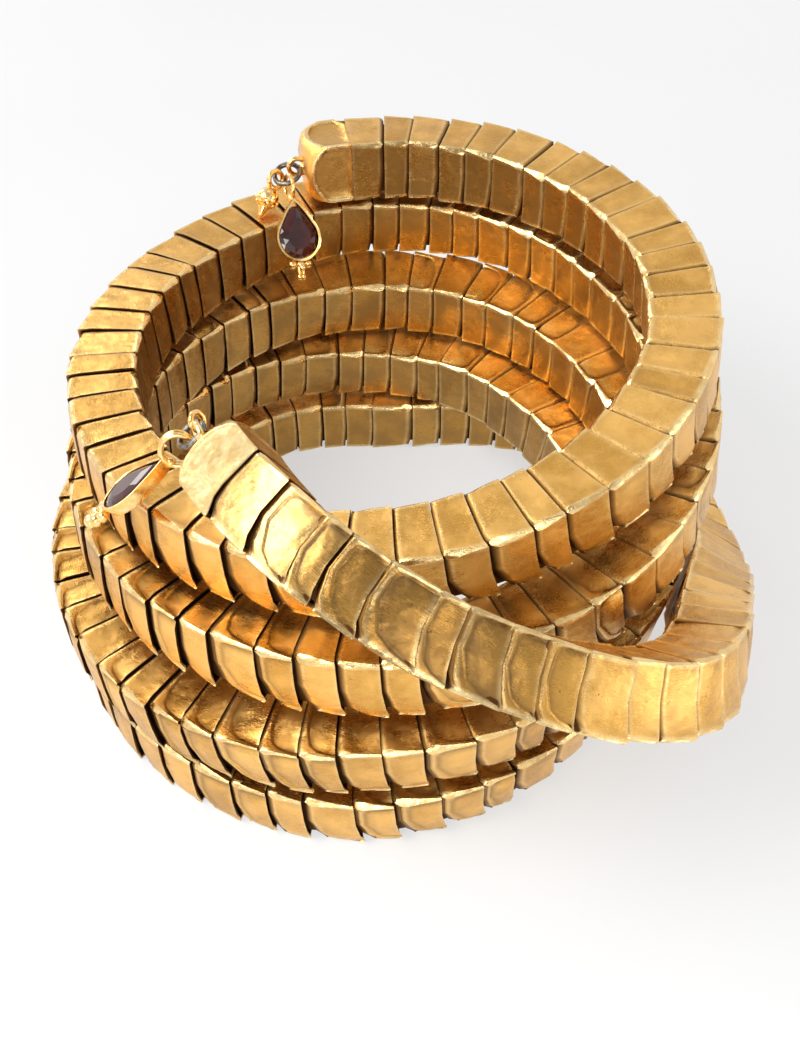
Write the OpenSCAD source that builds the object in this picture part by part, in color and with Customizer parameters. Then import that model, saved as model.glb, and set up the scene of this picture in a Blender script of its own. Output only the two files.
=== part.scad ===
// Snake bracelet: a square-section band of hollow sleeve links coiled nearly
// five times round the wrist, with a closed box end and a pear-shaped stone
// drop at each end. It stands on the floor on its lowest turn, axis upright.

/* [Band] */
// Width and height of the band's square section, mm
band = 8.5; // [7:0.1:8.7]
// Sheet thickness of a link, mm
wall = 0.45; // [0.35:0.05:0.8]
// Gap between one link's body and the next, mm
gap = 0.5; // [0.3:0.1:0.8]
// Rounding of a link's far corners, mm
round_off = 1.3; // [0.6:0.1:2]
// Clearance round a link's tongue inside the next link, mm
play = 0.4; // [0.3:0.05:0.6]
// How far a link's tongue reaches into the next link, mm
reach = 0.9; // [0.5:0.1:1.2]
// Number of links between the two ends
links = 238; // [200:1:238]
// How uneven the links are in length, as a share of one link
uneven = 0.06; // [0:0.01:0.1]

/* [Ends] */
// Radius of the rounding of the box end at the tail, mm
tail_dome = 4.6; // [4.3:0.1:7]
// Radius of the rounding of the box end at the head, mm
head_dome = 5.6; // [4.3:0.1:7]
// Radius of the middle of an eye's wire, mm
eye_r = 1.2; // [1:0.1:1.5]
// Thickness of the wire of eyes, rings and bails, mm
wire = 0.7; // [0.5:0.1:0.8]

/* [Drops] */
// Radius of the wide end of a pear-shaped setting, mm
pear_r = 3.3; // [2.8:0.1:3.5]
// Length of a pear-shaped setting, mm
pear_long = 8.9; // [8:0.1:10]
// Height of a setting from back to rim, mm
setting = 1.6; // [1.4:0.1:2.4]
// Width of a setting's rim, mm
rim = 0.35; // [0.3:0.05:0.5]
// Radius of the gold grains, mm
grain = 0.65; // [0.5:0.05:0.8]

/* [Hidden] */
$fn = 48;
half = band / 2;

// Course of the band's middle: angle in degrees clockwise from the back, seen
// from above; radius; height; roll of the section; usual length of a link.
path = [
    [-60, 42.0, 42.0, 0, 4.6], [0, 41.5, 42.0, -5, 4.6], [60, 36.0, 42.5, 5, 4.6],
    [120, 31.5, 41.0, 5, 4.5], [180, 30.5, 37.0, 0, 4.4], [240, 35.0, 35.0, 5, 4.3],
    [300, 39.0, 33.5, -5, 4.5], [360, 42.5, 32.5, 5, 4.7], [420, 36.5, 32.0, 5, 4.7],
    [480, 34.5, 29.5, 5, 4.6], [540, 36.5, 27.0, 5, 4.4], [600, 38.5, 25.5, 5, 4.4],
    [660, 38.0, 24.0, 0, 4.6], [720, 36.0, 23.0, 5, 4.7], [780, 31.5, 22.0, 0, 4.7],
    [840, 33.0, 17.5, -10, 4.5], [900, 39.0, 16.0, -5, 4.4], [960, 43.0, 13.5, 0, 4.4],
    [1020, 39.5, 14.5, 5, 4.6], [1080, 32.0, 13.5, 5, 4.7], [1140, 26.0, 13.0, -5, 4.7],
    [1200, 31.0, 7.5, -10, 4.6], [1260, 38.5, 5.0, -5, 4.6], [1290, 41.0, 4.35, 0, 4.6],
    [1320, 42.0, 4.25, 0, 4.6], [1350, 40.4, 4.25, 0, 4.6], [1380, 38.0, 4.25, 0, 4.7], [1410, 34.5, 4.25, 0, 4.7],
    [1440, 30.5, 4.3, 0, 4.7], [1480, 35.0, 4.6, 0, 4.7], [1510, 37.5, 6.0, -20, 4.7],
    [1535, 39.5, 7.5, -35, 4.7], [1560, 42.5, 16.0, -10, 4.6], [1585, 49.5, 27.0, 25, 4.4],
    [1610, 45.5, 37.5, 50, 4.3], [1640, 36.5, 46.0, 60, 4.3], [1670, 27.5, 46.0, 50, 4.3],
    [1700, 18.0, 43.5, 40, 4.3]];
// Angles of the two ends and of the first and last joints
tail_end = -19;
first_joint = -9.5;
last_joint = 1649.5;
head_end = 1660;
// Offset that puts the middle of the whole over the origin
shift = [0.6, 2.0, 0.0];

function knot(a, k = 0) = k >= len(path) - 2 || a < path[k + 1][0] ? k : knot(a, k + 1);
function slope(k, c) =
    let(i = max(k - 1, 0), j = min(k + 1, len(path) - 1))
    (path[j][c] - path[i][c]) / (path[j][0] - path[i][0]);
function course(a, c) =
    let(k = knot(a), w = path[k + 1][0] - path[k][0], u = (a - path[k][0]) / w)
    (2 * u ^ 3 - 3 * u ^ 2 + 1) * path[k][c] + (u ^ 3 - 2 * u ^ 2 + u) * w * slope(k, c)
    + (3 * u ^ 2 - 2 * u ^ 3) * path[k + 1][c] + (u ^ 3 - u ^ 2) * w * slope(k + 1, c);
function point(a) =
    let(r = course(a, 1)) [r * sin(a), r * cos(a), course(a, 2)] + shift;
function unit(v) = v / norm(v);
function tangent(a) = unit(point(a + 0.5) - point(a - 0.5));

// Matrix with X along a direction, Y outwards, Z up, rolled as the band is
function matrix(x, y, z, p) =
    [[x[0], y[0], z[0], p[0]], [x[1], y[1], z[1], p[1]], [x[2], y[2], z[2], p[2]], [0, 0, 0, 1]];
function frame(a, along, p) =
    let(o = unit(cross([0, 0, 1], along)), t = cross(along, o), r = course(a, 3))
    matrix(along, cos(r) * o + sin(r) * t, cos(r) * t - sin(r) * o, p);
function joint_frame(a) = frame(a, tangent(a), point(a));
function link_frame(a, b) =
    frame((a + b) / 2, unit(point(b) - point(a)), (point(a) + point(b)) / 2);

// Angle of each joint: links counted along the course, then read back
stations = [for (a = [first_joint:1:last_joint]) a];
counts = [for (i = 0, n = 0; i < len(stations); n = n + (i + 1 < len(stations)
    ? norm(point(stations[i + 1]) - point(stations[i])) / course(stations[i] + 0.5, 4) : 0),
    i = i + 1) [n, stations[i]]];
count = counts[len(counts) - 1][0];
function joint(k) =
    lookup((k + (k > 0 && k < links ? uneven * (sin(k * 137) + sin(k * 71)) : 0)) * count / links,
    counts);
joints = [for (k = [0:links]) joint(k)];

module slab(x, low, high) {
    translate([low, -half - 2, -half - 2]) cube([high - low, band + 4, band + 4]);
}

// Everything on the far side of a link's end, with its rounded corners
module beyond() {
    r = round_off;
    g = -gap / 2;
    linear_extrude(height = band + 4, center = true)
        polygon([[g, -half - 2], [g, half - r], [g - 0.3 * r, half - 0.3 * r], [g - r, half],
            [g - r, half + 2], [g + 9, half + 2], [g + 9, -half - 2]]);
    rotate([90, 0, 0])
        linear_extrude(height = band + 4, center = true)
            polygon([[g, half + 2], [g, r - half], [g - 0.3 * r, 0.3 * r - half], [g - r, -half],
                [g - r, -half - 2], [g + 9, -half - 2], [g + 9, half + 2]]);
}

module square_bar(low, high, size) {
    translate([low, -size / 2, -size / 2]) cube([high - low, size, size]);
}

module tongue() {
    square_bar(-gap / 2 - wall, gap / 2 + reach, band - 2 * wall - 2 * play);
}

module bore() {
    square_bar(-gap / 2 - wall - 1, gap / 2 + reach + 1, band - 4 * wall - 2 * play);
}

module link(a, b) {
    long = norm(point(b) - point(a));
    difference() {
        union() {
            difference() {
                multmatrix(link_frame(a, b)) square_bar(-long / 2 - 1, long / 2 + 1, band);
                multmatrix(joint_frame(a)) slab(0, -9, gap / 2);
                multmatrix(joint_frame(b)) beyond();
            }
            multmatrix(joint_frame(b)) tongue();
        }
        multmatrix(link_frame(a, b))
            square_bar(-long / 2 - 1, long / 2 - gap / 2 - wall, band - 2 * wall);
        multmatrix(joint_frame(b)) bore();
    }
}

module stretch(from, to) {
    for (k = [from:to]) link(joints[k], joints[k + 1]);
}

module band_upper() {
    color("goldenrod") stretch(0, 118);
}

module band_lower() {
    color("goldenrod") stretch(119, links - 1);
}

// Closed box end whose four side faces all end in a round; x runs from the end
module box_end(long, dome) {
    union() {
        linear_extrude(height = band, center = true) end_profile(long, dome);
        rotate([90, 0, 0]) linear_extrude(height = band, center = true) end_profile(long, dome);
    }
}

module end_profile(long, dome) {
    intersection() {
        translate([0, -half]) square([long, band]);
        union() {
            translate([dome, 0]) circle(r = dome);
            translate([dome, -half]) square([long, band]);
        }
    }
}

// A ring of round wire lying flat
module ring(r) {
    rotate_extrude() translate([r, 0]) circle(d = wire);
}

// An eye on a short stem at the end face, off the middle and turned about the band
module eye(off = 0, turn = 0) {
    translate([-eye_r + wire / 2 + 0.1, off, 0]) rotate([turn + 90, 0, 0]) ring(eye_r);
    translate([0.3, off, 0]) rotate([0, 90, 0]) cylinder(r = 0.6, h = 2);
}

tail_long = norm(point(tail_end) - point(first_joint));
head_long = norm(point(head_end) - point(last_joint));

module tail_cap() {
    color("goldenrod") {
        difference() {
            union() {
                difference() {
                    multmatrix(link_frame(tail_end, first_joint))
                        translate([-tail_long / 2, 0, 0]) {
                            box_end(tail_long + 1, tail_dome);
                            eye();
                        }
                    multmatrix(joint_frame(first_joint)) beyond();
                }
                multmatrix(joint_frame(first_joint)) tongue();
            }
            multmatrix(joint_frame(first_joint)) bore();
        }
    }
}

module head_cap() {
    color("goldenrod")
        difference() {
            multmatrix(link_frame(last_joint, head_end)) {
                translate([head_long / 2, 0, 0]) mirror([1, 0, 0]) {
                    box_end(head_long + 1, head_dome);
                    eye(3.4, 123);
                }
            }
            multmatrix(joint_frame(last_joint)) slab(0, -9, gap / 2);
            multmatrix(joint_frame(last_joint))
                square_bar(-1, gap / 2 + 2.5, band - 2 * wall);
        }
}

// Matrix of a drop: origin at its apex, -Y down its length, Z out of its face
function drop_frame(apex, down, face) =
    let(y = -unit(down), z = unit(face - (face * y) * y))
    matrix(cross(y, z), y, z, apex + shift);
tail_drop_frame = drop_frame([-15.5, 35.6, 39.4], [0.1, -0.62, -0.76], [0.45, -0.75, 0.5]);
head_drop_frame = drop_frame([-24.9, -23.35, 44.65], [-0.81, -0.28, -0.52], [-0.53, 0.2, 0.82]);

// Pear outline with its apex at y = top and its round end at y = low
module pear(r, top, low) {
    c = low + r;
    b = acos(r / (top - c));
    translate([0, c]) circle(r = r);
    polygon([[0, top], [r * sin(b), c + r * cos(b)], [0, c - r / 2],
        [-r * sin(b), c + r * cos(b)]]);
}

function pear_points(r, top, low, n) =
    let(c = low + r, b = acos(r / (top - c)))
    concat([[0, top]], [for (i = [0:n - 2])
        let(t = b + i * (360 - 2 * b) / (n - 2)) [r * sin(t), c + r * cos(t)]]);

module setting_cup() {
    difference() {
        linear_extrude(height = setting) pear(pear_r, 0, -pear_long);
        translate([0, 0, 0.6])
            linear_extrude(height = setting)
                pear(pear_r - rim, -2.6 * rim, rim - pear_long);
    }
}

// Bail, setting and the grains at its foot, soldered as one piece; a bail of
// one or two wires leans from the apex by its own angles
module drop_metal(wires, r, lean, side) {
    setting_cup();
    translate([0, 0, 0.6]) sphere(r = 0.6);
    for (x = wires == 1 ? [0] : [-0.3, 0.3])
        translate([0, 0.1, wire / 2]) rotate([0, 0, side]) rotate([lean, 0, 0])
            translate([x, r, 0]) rotate([0, 90, 0]) ring(r);
    foot = -pear_long;
    for (x = [-1.15, 0, 1.15]) translate([x, foot - 0.3, setting / 2]) sphere(r = grain);
    translate([0, foot - 0.8, setting / 2]) rotate([90, 0, 0]) {
        cylinder(r1 = 0.3, r2 = 0.45, h = 1.2);
        translate([0, 0, 1.2]) sphere(r = 0.55);
    }
}

// Faceted stone: girdle, crown facets and table over a blunt pavilion
module stone() {
    r = pear_r - rim - 0.1;
    top = -2.6 * rim - 0.3;
    low = rim + 0.1 - pear_long;
    n = 14;
    mid = [0, -5.4];
    outline = pear_points(r, top, low, n);
    rings = [[0.35, 0.7], [1, setting - 0.5], [1, setting - 0.2], [0.8, setting + 0.15],
        [0.55, setting + 0.35]];
    points = [for (s = rings) for (p = outline)
        [mid[0] + (p[0] - mid[0]) * s[0], mid[1] + (p[1] - mid[1]) * s[0], s[1]]];
    sides = [for (k = [0:len(rings) - 2]) for (i = [0:n - 1])
        [k * n + i, (k + 1) * n + i, (k + 1) * n + (i + 1) % n, k * n + (i + 1) % n]];
    polyhedron(points, concat(sides, [[for (i = [0:n - 1]) i]],
        [[for (i = [n - 1:-1:0]) (len(rings) - 1) * n + i]]));
}

// Matrix that lays a flat ring at a place, its axis along a direction
function ring_frame(place, axis) =
    let(z = unit(axis), x = unit(cross([0, 1, 0], z)))
    matrix(x, cross(z, x), z, place + shift);

// Matrix that hangs a piece from a wire: Z along up, Y along the wire
function hang_frame(place, up, along) =
    let(z = unit(up), y = unit(along - (along * z) * z))
    matrix(cross(y, z), y, z, place + shift);

module tail_ring() {
    color("dimgray") multmatrix(ring_frame([-15.85, 38.65, 41.4], [-0.19, -0.25, 0.95])) ring(1.8);
}

module tail_drop() {
    color("gold") multmatrix(tail_drop_frame) drop_metal(1, 1.5, 0, 0);
}

module tail_stone() {
    color("maroon") multmatrix(tail_drop_frame) stone();
}

// Small gold bead with a grained waist, on the same ring as the tail's drop
module tail_bead() {
    color("gold") multmatrix(hang_frame([-17.5, 38, 40.85], [0.4, 0.65, 0.6], [0.4, -0.9, 0])) {
        translate([0, 0, -2.7]) sphere(r = 1.5);
        translate([0, 0, -5.2]) cylinder(r1 = 0.3, r2 = 1.3, h = 2.3);
        for (t = [0:45:315]) rotate(t) translate([1.4, 0, -3]) sphere(r = 0.35);
        translate([0, 0, 0.1]) rotate([90, 0, 0]) ring(1.15);
    }
}

module head_ring() {
    color("dimgray") multmatrix(ring_frame([-22.75, -22.35, 48.3], [-0.56, 0, 0.78])) ring(1.6);
}

module head_loop() {
    color("gold") multmatrix(ring_frame([-22.15, -20.9, 48.85], [0.76, -0.4, 0.5])) ring(0.9);
}

module head_drop() {
    color("gold") multmatrix(head_drop_frame) drop_metal(2, 1.85, 32, -6);
}

module head_stone() {
    color("maroon") multmatrix(head_drop_frame) stone();
}

band_upper();
band_lower();
tail_cap();
head_cap();
tail_ring();
tail_drop();
tail_stone();
tail_bead();
head_ring();
head_loop();
head_drop();
head_stone();
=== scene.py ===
"""Snake bracelet: the looks of a coiled band of hollow gold sleeve links, its
two closed box ends and the stone drops that hang from them.

The file is laid out as an add-on and run as a script. Every piece ends in
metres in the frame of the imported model; its shape is worked out in mm, and MM
brings it over. The band follows one course: a list of angles, radii and heights
from which every link takes its place.
"""

import bisect
import math
import random

import bmesh
import bpy
from mathutils import Matrix, Vector


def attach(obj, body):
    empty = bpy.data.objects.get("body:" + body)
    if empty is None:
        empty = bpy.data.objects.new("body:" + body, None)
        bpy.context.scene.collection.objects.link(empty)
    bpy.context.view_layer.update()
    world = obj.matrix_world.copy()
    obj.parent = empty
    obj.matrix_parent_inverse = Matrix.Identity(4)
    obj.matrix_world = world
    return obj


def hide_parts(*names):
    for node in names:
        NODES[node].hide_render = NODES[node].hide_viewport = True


bl_info = {
    "name": "Snake Bracelet",
    "version": (1, 0, 0),
    "blender": (4, 5, 0),
    "location": "3D View > Sidebar > Bracelet",
    "description": "Models and finishes a coiled snake bracelet of gold sleeve links",
    "category": "Add Mesh",
}

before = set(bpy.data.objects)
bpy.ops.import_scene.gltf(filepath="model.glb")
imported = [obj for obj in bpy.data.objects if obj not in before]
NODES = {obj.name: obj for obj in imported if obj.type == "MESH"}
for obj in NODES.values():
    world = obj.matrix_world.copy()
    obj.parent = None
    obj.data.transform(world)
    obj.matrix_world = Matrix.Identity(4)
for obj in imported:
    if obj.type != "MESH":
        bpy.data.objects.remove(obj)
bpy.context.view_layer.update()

MM = 0.001

# Course of the band's middle: angle in degrees clockwise from the back, seen
# from above; radius and height in mm; roll of the section; length of a link.
COURSE = (
    (-60, 42.0, 42.0, 0, 4.6), (0, 41.5, 42.0, -5, 4.6), (60, 36.0, 42.5, 5, 4.6),
    (120, 31.5, 41.0, 5, 4.5), (180, 30.5, 37.0, 0, 4.4), (240, 35.0, 35.0, 5, 4.3),
    (300, 39.0, 33.5, -5, 4.5), (360, 42.5, 32.5, 5, 4.7), (420, 36.5, 32.0, 5, 4.7),
    (480, 34.5, 29.5, 5, 4.6), (540, 36.5, 27.0, 5, 4.4), (600, 38.5, 25.5, 5, 4.4),
    (660, 38.0, 24.0, 0, 4.6), (720, 36.0, 23.0, 5, 4.7), (780, 31.5, 22.0, 0, 4.7),
    (840, 33.0, 17.5, -10, 4.5), (900, 39.0, 16.0, -5, 4.4), (960, 43.0, 13.5, 0, 4.4),
    (1020, 39.5, 14.5, 5, 4.6), (1080, 32.0, 13.5, 5, 4.7), (1140, 26.0, 13.0, -5, 4.7),
    (1200, 31.0, 7.5, -10, 4.6), (1260, 38.5, 5.0, -5, 4.6), (1290, 41.0, 4.35, 0, 4.6),
    (1320, 42.0, 4.25, 0, 4.6), (1350, 40.4, 4.25, 0, 4.6), (1380, 38.0, 4.25, 0, 4.7),
    (1410, 34.5, 4.25, 0, 4.7), (1440, 30.5, 4.3, 0, 4.7), (1480, 35.0, 4.6, 0, 4.7),
    (1510, 37.5, 6.0, -20, 4.7), (1535, 39.5, 7.5, -35, 4.7), (1560, 42.5, 16.0, -10, 4.6),
    (1585, 49.5, 27.0, 25, 4.4), (1610, 45.5, 37.5, 50, 4.3), (1640, 36.5, 46.0, 60, 4.3),
    (1670, 27.5, 46.0, 50, 4.3), (1700, 18.0, 43.5, 40, 4.3),
)
COURSE_ANGLES = [row[0] for row in COURSE]
ANGLE, RADIUS, HEIGHT, ROLL, LINK_LENGTH = range(5)
# Offset that puts the middle of the whole over the origin, in mm
SHIFT = Vector((0.6, 2.0, 0.0))
# Angles of the two ends and of the first and last joints
TAIL_END = -19.0
FIRST_JOINT = -9.5
LAST_JOINT = 1649.5
HEAD_END = 1660.0
LINKS = 238
UPPER_LINKS = 119
# How uneven the links are in length, as a share of one link
UNEVEN = 0.06

# Section of the band, in mm, as in the solids: its width, the sheet, the gap
# between two links, the play round a tongue and how far it reaches in
BAND = 8.5
HALF = BAND / 2
WALL = 0.45
GAP = 0.5
PLAY = 0.4
TONGUE = BAND - 2 * WALL - 2 * PLAY
REACH = 0.9

# Pattern of a link, in mm: its length without the tongue, and its bevel. A point
# further out than the skin's limit is on one of its faces
PATTERN_LONG = 4.1
CREASE = 0.15
SKIN = 0.97 * HALF
# The numbers of a link's four faces
OUTER, INNER, UPPER, UNDER = range(4)
# The last stretch of a link, in mm, that sinks towards the next link's mouth
SINK_LONG = 0.45

# Rounding of a face's far corners, below and above, in mm, and the groove inside
# its border: how far in it runs and how wide it spreads
LOW_ROUND = 3.4
HIGH_ROUND = 1.6
GROOVE_IN = 0.8
GROOVE_WIDE = 0.42
# Distance in from an edge, in mm, at which no border shows
NO_BORDER = 3.0

# Where the links change, by their numbers from the tail: the end of the top turn,
# the bend below the rising strand, the strand, its links browned with painted shade and its
# links paled with a painted highlight
TOP_TURN = 50
BEND = (LINKS - 24, LINKS - 9)
STRAND = LINKS - 20
BROWN_FROM = (LINKS - 10, LINKS - 7)
BROWN_TO = (LINKS - 4, LINKS - 2)
PALE = (LINKS - 4, LINKS - 1)

# Wear and painted light on the links, from 0 to 1: how far they are rubbed bright, partly
# as a painted highlight, at their creases and at their ends; the painted highlight on the pale
# links; the painted shade on the faces inside the coil, at their far ends and on the brown
# links, and how much darker the faces inside the coil and the brown links are
CREASE_WEAR_AND_HIGHLIGHT = 0.75
END_WEAR_AND_HIGHLIGHT = 0.35
PALE_PAINTED_HIGHLIGHT = 0.35
INSIDE_PAINTED_SHADE = 0.8
END_PAINTED_SHADE = 0.6
BROWN_PAINTED_SHADE = 0.9
DARKER_INSIDE = 0.45
DARKER_BROWN = 0.4


def course(angle, column):
    """One column of the course at an angle, on a smooth curve through its rows."""
    k = min(max(bisect.bisect_right(COURSE_ANGLES, angle) - 1, 0), len(COURSE) - 2)
    width = COURSE[k + 1][ANGLE] - COURSE[k][ANGLE]
    u = (angle - COURSE[k][ANGLE]) / width

    def slope(row):
        before = COURSE[max(row - 1, 0)]
        after = COURSE[min(row + 1, len(COURSE) - 1)]
        return (after[column] - before[column]) / (after[ANGLE] - before[ANGLE])

    return (
        (2 * u**3 - 3 * u**2 + 1) * COURSE[k][column]
        + (u**3 - 2 * u**2 + u) * width * slope(k)
        + (3 * u**2 - 2 * u**3) * COURSE[k + 1][column]
        + (u**3 - u**2) * width * slope(k + 1)
    )


def course_point(angle):
    """The band's middle at an angle, in mm."""
    turn = math.radians(angle)
    radius = course(angle, RADIUS)
    return Vector(
        (radius * math.sin(turn), radius * math.cos(turn), course(angle, HEIGHT))
    ) + SHIFT


def axes(x, y, z, place):
    """Matrix with these three axes at a place."""
    return Matrix.Translation(place) @ Matrix((x, y, z)).transposed().to_4x4()


def section(angle, along, place):
    """Frame of the band's section: X along, Y outwards, Z up, rolled."""
    out = Vector((0, 0, 1)).cross(along).normalized()
    up = along.cross(out)
    roll = math.radians(course(angle, ROLL))
    return axes(
        along,
        math.cos(roll) * out + math.sin(roll) * up,
        math.cos(roll) * up - math.sin(roll) * out,
        place,
    )


def joint_frame(angle):
    """Frame of the band at a joint."""
    along = course_point(angle + 0.5) - course_point(angle - 0.5)
    return section(angle, along.normalized(), course_point(angle))


def link_frame(start, end):
    """Frame at the middle of the straight piece between two angles."""
    a, b = course_point(start), course_point(end)
    return section((start + end) / 2, (b - a).normalized(), (a + b) / 2)


def joint_angles():
    """Angles of all joints: links counted along the course, then read back."""
    stations = [FIRST_JOINT + i for i in range(int(LAST_JOINT - FIRST_JOINT) + 1)]
    points = [course_point(a) for a in stations]
    counts = [0.0]
    for i in range(len(stations) - 1):
        step = (points[i + 1] - points[i]).length
        counts.append(counts[-1] + step / course(stations[i] + 0.5, LINK_LENGTH))
    angles = []
    for k in range(LINKS + 1):
        jog = 0.0
        if 0 < k < LINKS:
            jog = UNEVEN * (
                math.sin(math.radians(k * 137)) + math.sin(math.radians(k * 71))
            )
        want = (k + jog) * counts[-1] / LINKS
        i = min(max(bisect.bisect_right(counts, want) - 1, 0), len(counts) - 2)
        share = (want - counts[i]) / (counts[i + 1] - counts[i])
        angles.append(stations[i] + share)
    return angles


def fade(value, low, high):
    """0 at low, 1 at high, smooth between."""
    t = min(max((value - low) / (high - low), 0.0), 1.0)
    return t * t * (3 - 2 * t)


def start_piece(name):
    """Names the primitive that the last call added."""
    piece = bpy.context.active_object
    piece.name = name
    piece.data.name = name
    return piece


def clear_selection():
    """Leaves edit mode, if it is on, and deselects everything."""
    if bpy.context.mode != "OBJECT":
        bpy.ops.object.mode_set(mode="OBJECT")
    bpy.ops.object.select_all(action="DESELECT")


def pick(piece, kind, test):
    """In edit mode, selects the edges or the faces that pass a test."""
    bpy.ops.mesh.select_mode(type=kind)
    bpy.ops.mesh.select_all(action="DESELECT")
    mesh = bmesh.from_edit_mesh(piece.data)
    for one in mesh.edges if kind == "EDGE" else mesh.faces:
        one.select_set(test(one))
    mesh.select_flush_mode()
    bmesh.update_edit_mesh(piece.data)


def near(a, b):
    """Whether two measures in metres are the same."""
    return abs(a - b) < 1e-6


def on_crease(edge):
    """Whether an edge lies on one of a block's four long edges."""
    half = HALF * MM
    return all(near(abs(v.co.y), half) and near(abs(v.co.z), half) for v in edge.verts)


def on_front(edge):
    """Whether an edge lies round a block's face at X = 0."""
    half = HALF * MM
    return all(
        near(v.co.x, 0) and near(max(abs(v.co.y), abs(v.co.z)), half) for v in edge.verts
    )


def turn_outwards():
    """In edit mode, turns all faces of a closed piece outwards."""
    bpy.ops.mesh.select_all(action="SELECT")
    bpy.ops.mesh.normals_make_consistent(inside=False)


def finish_piece(piece, material, slot, nodes):
    """Material, body and the CAD nodes that the piece stands for; the slot is not used."""
    piece.data.materials.clear()
    piece.data.materials.append(material)
    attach(piece, "root")
    if nodes:
        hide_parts(*nodes)


def add_tongue(piece, x):
    """From the open edge at x: a shoulder, a tongue that goes on along X, a lid."""
    pick(piece, "EDGE", lambda e: all(near(v.co.x, x) for v in e.verts))
    shoulder = 0.93
    for size in (shoulder, TONGUE / BAND / shoulder):
        bpy.ops.mesh.extrude_region_move()
        bpy.ops.transform.resize(value=(1, size, size), center_override=(x, 0, 0))
    bpy.ops.mesh.extrude_region_move(
        TRANSFORM_OT_translate={"value": ((GAP + REACH) * MM, 0, 0)}
    )
    bpy.ops.mesh.edge_face_add()


def add_pocket(piece, x, depth):
    """From the open edge at x: the sheet's thickness, a pocket and its floor."""
    pick(piece, "EDGE", lambda e: all(near(v.co.x, x) for v in e.verts))
    rim = (HALF - WALL) / HALF
    bpy.ops.mesh.extrude_region_move()
    bpy.ops.transform.resize(value=(1, rim, rim), center_override=(x, 0, 0))
    bpy.ops.mesh.extrude_region_move(TRANSFORM_OT_translate={"value": (depth, 0, 0)})
    bpy.ops.mesh.edge_face_add()


def block(name, long):
    """A box of the band's section, X from 0 to long, left in edit mode."""
    clear_selection()
    bpy.ops.mesh.primitive_cube_add(size=1, location=(long / 2, 0, 0))
    piece = start_piece(name)
    piece.scale = (long, BAND * MM, BAND * MM)
    bpy.ops.object.transform_apply(location=True, rotation=True, scale=True)
    bpy.ops.object.mode_set(mode="EDIT")
    return piece


def cut_across(shares, long, levels):
    """Cuts the block into a grid, across at shares of its length and along at levels."""
    cuts = [((share * long, 0, 0), (1, 0, 0)) for share in shares]
    for level in levels:
        cuts.append(((0, level * MM, 0), (0, 1, 0)))
        cuts.append(((0, 0, level * MM), (0, 0, 1)))
    for place, normal in cuts:
        bpy.ops.mesh.select_all(action="SELECT")
        bpy.ops.mesh.bisect(plane_co=place, plane_no=normal)


def sleeve_pattern():
    """One plain link, modelled once: a square tube with a rim and a pocket at
    its mouth, and a shoulder and a tongue at its far end. X runs from the
    mouth."""
    long = PATTERN_LONG * MM
    piece = block("sleeve_pattern", long)
    pick(piece, "FACE", lambda f: abs(f.normal.x) > 0.9)
    bpy.ops.mesh.delete(type="ONLY_FACE")
    cut_across((0.12, 0.5, 0.72, 0.86, 0.95), long, (-3.45, -2.6, 0, 2.6, 3.45))
    pick(piece, "EDGE", on_crease)
    bpy.ops.mesh.bevel(offset=CREASE * MM, segments=2, affect="EDGES")
    add_tongue(piece, long)
    add_pocket(piece, 0.0, 1.3 * MM)
    turn_outwards()
    bpy.ops.object.mode_set(mode="OBJECT")
    return piece


def quarter(distance, radius):
    """How far a round corner of a radius has drawn back at a distance in."""
    if distance >= radius:
        return 0.0
    rise = (radius - max(distance, 0.0)) / radius
    return radius * (1 - math.sqrt(max(0.0, 1 - rise * rise)))


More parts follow.
